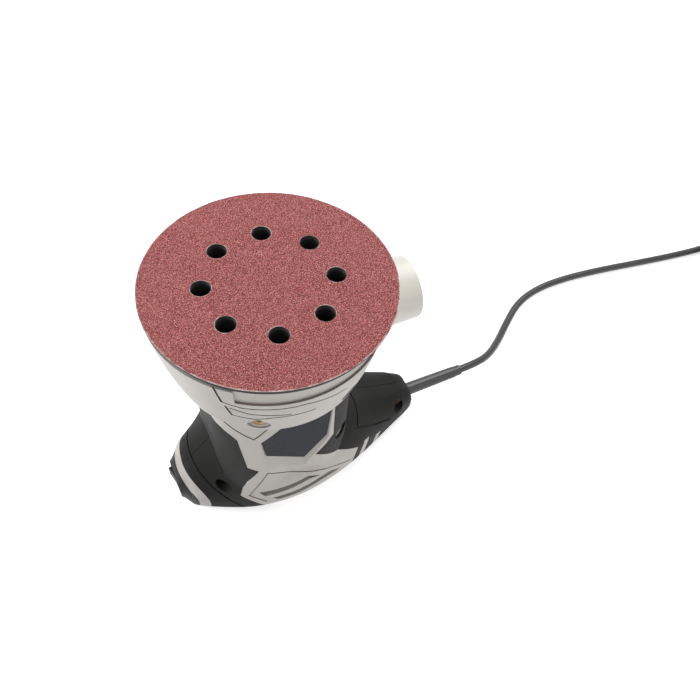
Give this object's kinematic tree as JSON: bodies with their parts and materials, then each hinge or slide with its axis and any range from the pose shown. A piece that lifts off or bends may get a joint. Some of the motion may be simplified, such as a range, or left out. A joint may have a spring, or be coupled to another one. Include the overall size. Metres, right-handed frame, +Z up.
{
  "type": "random orbit sander",
  "caption": "Palm-grip random orbit sander with perforated round abrasive pad, side dust port, rocker switch and mains cord, standing on its crown with the disc up.",
  "frame": {"origin": "on the motor axis, on the flat of the palm crown that the sander stands on", "axes": "+Z up out of the abrasive face along the motor axis, +X towards the tail with the cord and the dust port, -Y the side with the data plate"},
  "size_m": [0.6261, 0.125, 0.168],
  "materials": {
    "abrasive": "coarse mineral grain on a paper backing",
    "hook_cloth": "short woven hooks",
    "pad_foam": "dense black elastomer",
    "die_cast": "bead-blasted casting",
    "steel": "turned steel",
    "bearing_steel": "ground bearing steel",
    "screw_steel": "dark zinc plated",
    "fan_plastic": "moulded, glass filled",
    "weight_iron": "as cast",
    "laminations": "varnished sheet stack",
    "copper": "enamelled copper",
    "brush_carbon": null,
    "housing_plastic": "fine moulded texture, warm light grey",
    "grip_rubber": "satin soft grip",
    "plate_film": "dark bluish film plate, bare",
    "port_plastic": "cream white",
    "switch_plastic": "black",
    "holder_plastic": "brown phenolic",
    "felt": "pad brake elastomer",
    "cord_sheath": "smooth black sheath",
    "tie_plastic": "black tie",
    "pin_metal": "nickel plated brass"
  },
  "bodies": {
    "housing": {"fan_end_bearing_outer_ring": "bearing_steel", "crown_end_bearing_outer_ring": "bearing_steel", "stator_core": "laminations", "stator_coils": "copper", "brush_holders": "holder_plastic", "carbon_brushes": "brush_carbon", "brush_springs": "steel", "skirt": "housing_plastic", "skirt_screws": "screw_steel", "brake_ring": "felt", "dust_port": "port_plastic", "bearing_bracket": "die_cast", "right_housing": "housing_plastic", "left_housing": "housing_plastic", "right_front_grip": "grip_rubber", "left_front_grip": "grip_rubber", "right_rear_grip": "grip_rubber", "left_rear_grip": "grip_rubber", "data_plate": "plate_film", "housing_screws": "screw_steel", "nose_ring": "housing_plastic", "switch_panel": "switch_plastic", "switch_body": "switch_plastic", "cord_sleeve": "cord_sheath", "inner_lead": "cord_sheath", "cord_clamp": "holder_plastic", "clamp_screws": "screw_steel", "cord": "cord_sheath", "cord_coil": "cord_sheath", "cord_tail": "cord_sheath", "coil_tie": "tie_plastic", "plug_body": "cord_sheath", "plug_pins": "pin_metal"},
    "rotor": {"fan_eccentric": "fan_plastic", "counterweight": "weight_iron", "pad_bearing_outer_ring": "bearing_steel", "armature_shaft": "steel", "armature_core": "laminations", "armature_winding": "copper", "commutator": "copper", "fan_end_bearing_inner_ring": "bearing_steel", "crown_end_bearing_inner_ring": "bearing_steel"},
    "pad": {"abrasive_disc": "abrasive", "hook_facing": "hook_cloth", "backing_pad": "pad_foam", "pad_plate": "fan_plastic", "pad_spindle": "steel", "pad_washer": "steel", "pad_screw": "screw_steel", "pad_bearing_inner_ring": "bearing_steel"},
    "rocker": {"rocker": "switch_plastic"}
  },
  "joints": [
    {"name": "rotor_spin", "type": "hinge", "parent": "housing", "child": "rotor", "pos_m": [0, 0, 0.108], "axis": [0, 0, 1], "continuous": true},
    {"name": "pad_spin", "type": "hinge", "parent": "rotor", "child": "pad", "pos_m": [0.00125, 0, 0.148], "axis": [0, 0, 1], "continuous": true},
    {"name": "rocker_tilt", "type": "hinge", "parent": "housing", "child": "rocker", "pos_m": [-0.0615, 0, 0.012], "axis": [0, 0, -1], "range_deg": [0, 16]}
  ]
}
